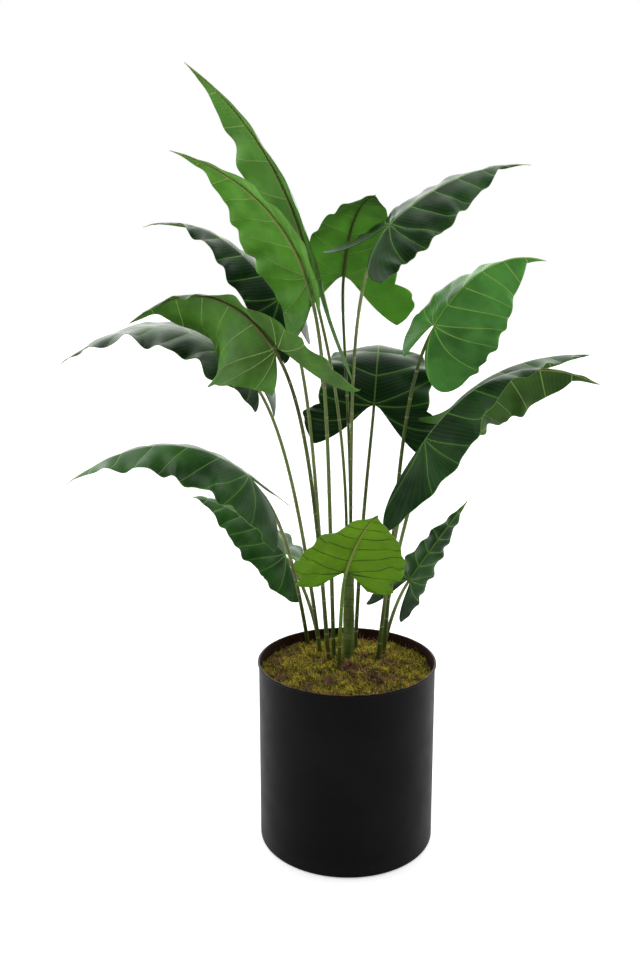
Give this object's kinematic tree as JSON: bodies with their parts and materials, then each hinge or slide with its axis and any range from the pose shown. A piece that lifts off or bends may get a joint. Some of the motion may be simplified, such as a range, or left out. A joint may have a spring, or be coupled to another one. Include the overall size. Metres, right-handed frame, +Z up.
{
  "type": "potted giant taro plant",
  "caption": "Tall foliage plant with waved arrow-shaped leaves on slender upright stalks, standing in moss in a straight black cylinder planter.",
  "frame": {"origin": "middle of the planter's flat underside, on the surface that it stands on", "axes": "+Z up along the planter's axis, -Y towards the side seen in the picture, +X to that side's right"},
  "size_m": [0.9453, 0.6125, 1.3054],
  "materials": {
    "planter": "satin",
    "soil": "matte",
    "moss": "matte",
    "pseudostem": "satin",
    "blade": "satin",
    "stalk": "satin"
  },
  "bodies": {
    "root": {"planter": "planter", "soil": "soil", "moss": "moss", "pseudostem": "pseudostem", "leaf_01_blade": "blade", "leaf_01_stalk": "stalk", "leaf_02_blade": "blade", "leaf_02_stalk": "stalk", "leaf_03_blade": "blade", "leaf_03_stalk": "stalk", "leaf_04_blade": "blade", "leaf_04_stalk": "stalk", "leaf_05_blade": "blade", "leaf_05_stalk": "stalk", "leaf_06_blade": "blade", "leaf_06_stalk": "stalk", "leaf_07_blade": "blade", "leaf_07_stalk": "stalk", "leaf_08_blade": "blade", "leaf_08_stalk": "stalk", "leaf_09_blade": "blade", "leaf_09_stalk": "stalk", "leaf_10_blade": "blade", "leaf_10_stalk": "stalk", "leaf_11_blade": "blade", "leaf_11_stalk": "stalk", "leaf_12_blade": "blade", "leaf_12_stalk": "stalk", "leaf_13_blade": "blade", "leaf_13_stalk": "stalk", "leaf_14_blade": "blade", "leaf_14_stalk": "stalk", "leaf_15_blade": "blade", "leaf_15_stalk": "stalk"}
  },
  "joints": []
}
